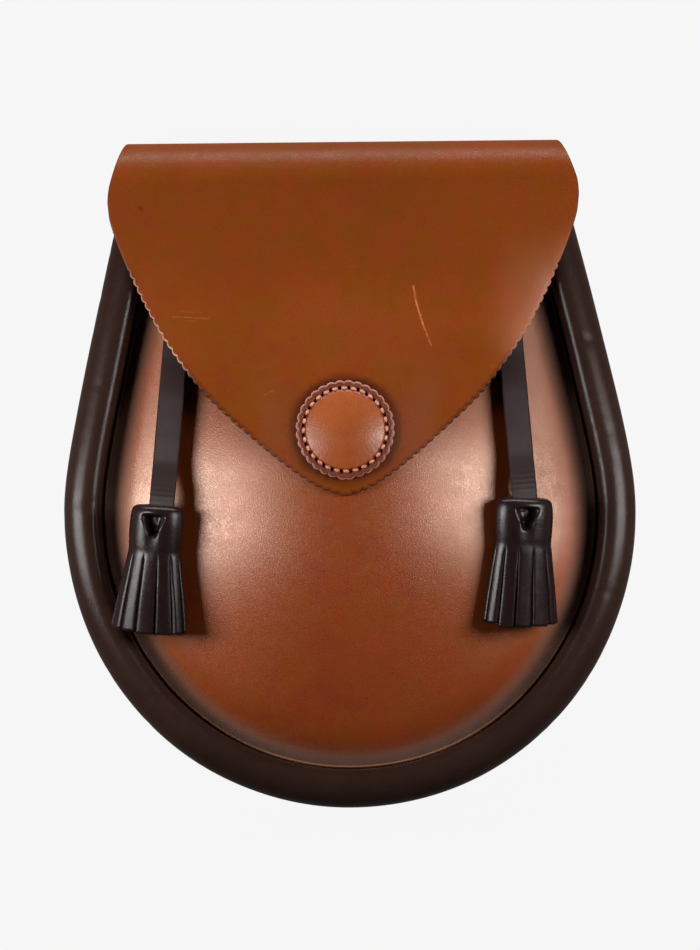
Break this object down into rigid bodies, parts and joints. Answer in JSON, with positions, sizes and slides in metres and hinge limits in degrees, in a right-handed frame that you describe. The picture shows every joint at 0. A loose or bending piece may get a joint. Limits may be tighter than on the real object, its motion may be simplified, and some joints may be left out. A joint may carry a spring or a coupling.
{
  "type": "leather sporran pouch",
  "caption": "Round-bottomed leather pouch with a padded edge roll, a wide pointed flap with a pinked edge, a round button, and a tassel on a strap at each side.",
  "frame": {"origin": "on the surface that the pouch lies on, at the middle of its length and width", "axes": "+X to the right across the front, +Y up the pouch from its round bottom to the fold, +Z out of the front"},
  "size_m": [0.18, 0.2104, 0.0473],
  "materials": {
    "tan_leather": "smooth, semi-gloss saddle leather",
    "panel_leather": "fine-grained semi-gloss leather",
    "gusset_leather": "soft brown leather",
    "dark_leather": "dark brown semi-gloss leather",
    "button_leather": "smooth semi-gloss leather",
    "clasp_brass": "plain"
  },
  "bodies": {
    "root": {"back_and_flap": "tan_leather", "front_panel": "panel_leather", "gusset": "gusset_leather", "edge_roll": "dark_leather", "button": "button_leather", "snap_stud": "clasp_brass", "strap_left": "dark_leather", "strap_right": "dark_leather", "tassel_left": "dark_leather", "tassel_right": "dark_leather"}
  },
  "joints": []
}
